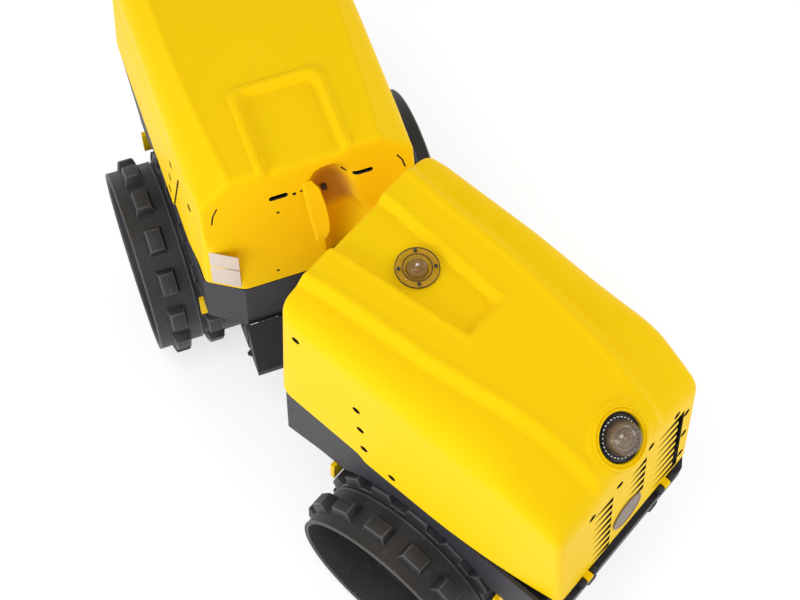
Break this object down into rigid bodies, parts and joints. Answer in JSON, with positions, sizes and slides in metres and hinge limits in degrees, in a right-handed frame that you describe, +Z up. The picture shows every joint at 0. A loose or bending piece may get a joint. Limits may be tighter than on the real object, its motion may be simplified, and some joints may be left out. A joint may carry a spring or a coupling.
{
  "type": "articulated trench roller",
  "caption": "Walk-behind trench roller with a steering joint between two halves, padded drums, ring extensions, yellow hoods and a domed receiver.",
  "frame": {"origin": "on the ground under the middle of the bounding box", "axes": "+X forward along the rear half and the longest side, +Y to its left, +Z up; the front half is turned left about the steering axis"},
  "size_m": [1.8394, 1.1492, 1.1631],
  "materials": {
    "hood_paint": "gloss yellow paint",
    "frame_paint": "satin dark grey paint",
    "scraper_paint": "gloss yellow paint, worn edges",
    "drum_iron": "dark painted castings, dull",
    "bare_steel": "machined steel",
    "receiver_plastic": "black moulded housing",
    "receiver_lens": "smoked dome",
    "badge_plate": "plain black disc",
    "engine_paint": "plain block finish"
  },
  "bodies": {
    "rear_frame": {"rear_frame": "frame_paint", "rear_axle_carrier": "frame_paint", "rear_scraper_front": "scraper_paint", "rear_scraper_rear": "scraper_paint", "rear_lashing_eyes": "frame_paint", "hydraulic_tank": "engine_paint", "rear_hood_hinge_pins": "bare_steel"},
    "rear_drums": {"rear_axle": "bare_steel", "rear_drum_left": "drum_iron", "rear_drum_right": "drum_iron", "rear_ring_left": "drum_iron", "rear_ring_right": "drum_iron"},
    "rear_lid": {"rear_hood": "hood_paint"},
    "joint_block": {"joint_block": "frame_paint"},
    "front_frame": {"front_frame": "frame_paint", "front_axle_carrier": "frame_paint", "front_scraper_front": "scraper_paint", "front_scraper_rear": "scraper_paint", "front_lashing_eyes": "frame_paint", "engine_block": "engine_paint", "radiator": "engine_paint", "front_hood_hinge_pins": "bare_steel", "steering_pin": "drum_iron"},
    "front_drums": {"front_axle": "bare_steel", "front_drum_left": "drum_iron", "front_drum_right": "drum_iron", "front_ring_left": "drum_iron", "front_ring_right": "drum_iron"},
    "front_lid": {"front_hood": "hood_paint", "top_receiver_base": "receiver_plastic", "top_receiver_lens": "receiver_lens", "nose_receiver_base": "receiver_plastic", "nose_receiver_lens": "receiver_lens", "nose_badge": "badge_plate"},
    "steering_cylinder": {"steering_cylinder": "frame_paint"},
    "steering_rod": {"steering_rod": "drum_iron"}
  },
  "joints": [
    {"name": "frame_oscillation", "type": "hinge", "parent": "rear_frame", "child": "joint_block", "pos_m": [-0.00368, -0.16562, 0.40006], "axis": [1, 0, 0], "range_deg": [-8, 8]},
    {"name": "steering", "type": "hinge", "parent": "joint_block", "child": "front_frame", "pos_m": [-0.00368, -0.16562, 0.30006], "axis": [0, 0, 1], "range_deg": [-59.7, 0.3]},
    {"name": "front_drum_roll", "type": "hinge", "parent": "front_frame", "child": "front_drums", "pos_m": [0.45583, 0.09648, 0.27106], "axis": [-0.4955, 0.8686, 0], "continuous": true},
    {"name": "rear_drum_roll", "type": "hinge", "parent": "rear_frame", "child": "rear_drums", "pos_m": [-0.42263, -0.16562, 0.27106], "axis": [0, 1, 0], "continuous": true},
    {"name": "front_hood_hinge", "type": "hinge", "parent": "front_frame", "child": "front_lid", "pos_m": [0.80763, 0.29714, 0.63011], "axis": [-0.4955, 0.8686, 0], "range_deg": [0, 60]},
    {"name": "rear_hood_hinge", "type": "hinge", "parent": "rear_frame", "child": "rear_lid", "pos_m": [-0.90968, -0.16562, 0.65211], "axis": [0, -1, 0], "range_deg": [0, 60]},
    {"name": "steering_cylinder_swing", "type": "hinge", "parent": "front_frame", "child": "steering_cylinder", "pos_m": [0.16706, 0.06991, 0.53006], "axis": [0, 0, 1], "range_deg": [-10, 10]},
    {"name": "steering_rod_slide", "type": "slide", "parent": "steering_cylinder", "child": "steering_rod", "axis": [-0.8282, -0.5604, 0], "range_m": [-0.004, 0.125]}
  ],
  "couplings": [
    {"joint": "steering_cylinder_swing", "follows": "steering", "ratio": 0.026026},
    {"joint": "steering_rod_slide", "follows": "steering", "m_per_rad": -0.11445}
  ]
}
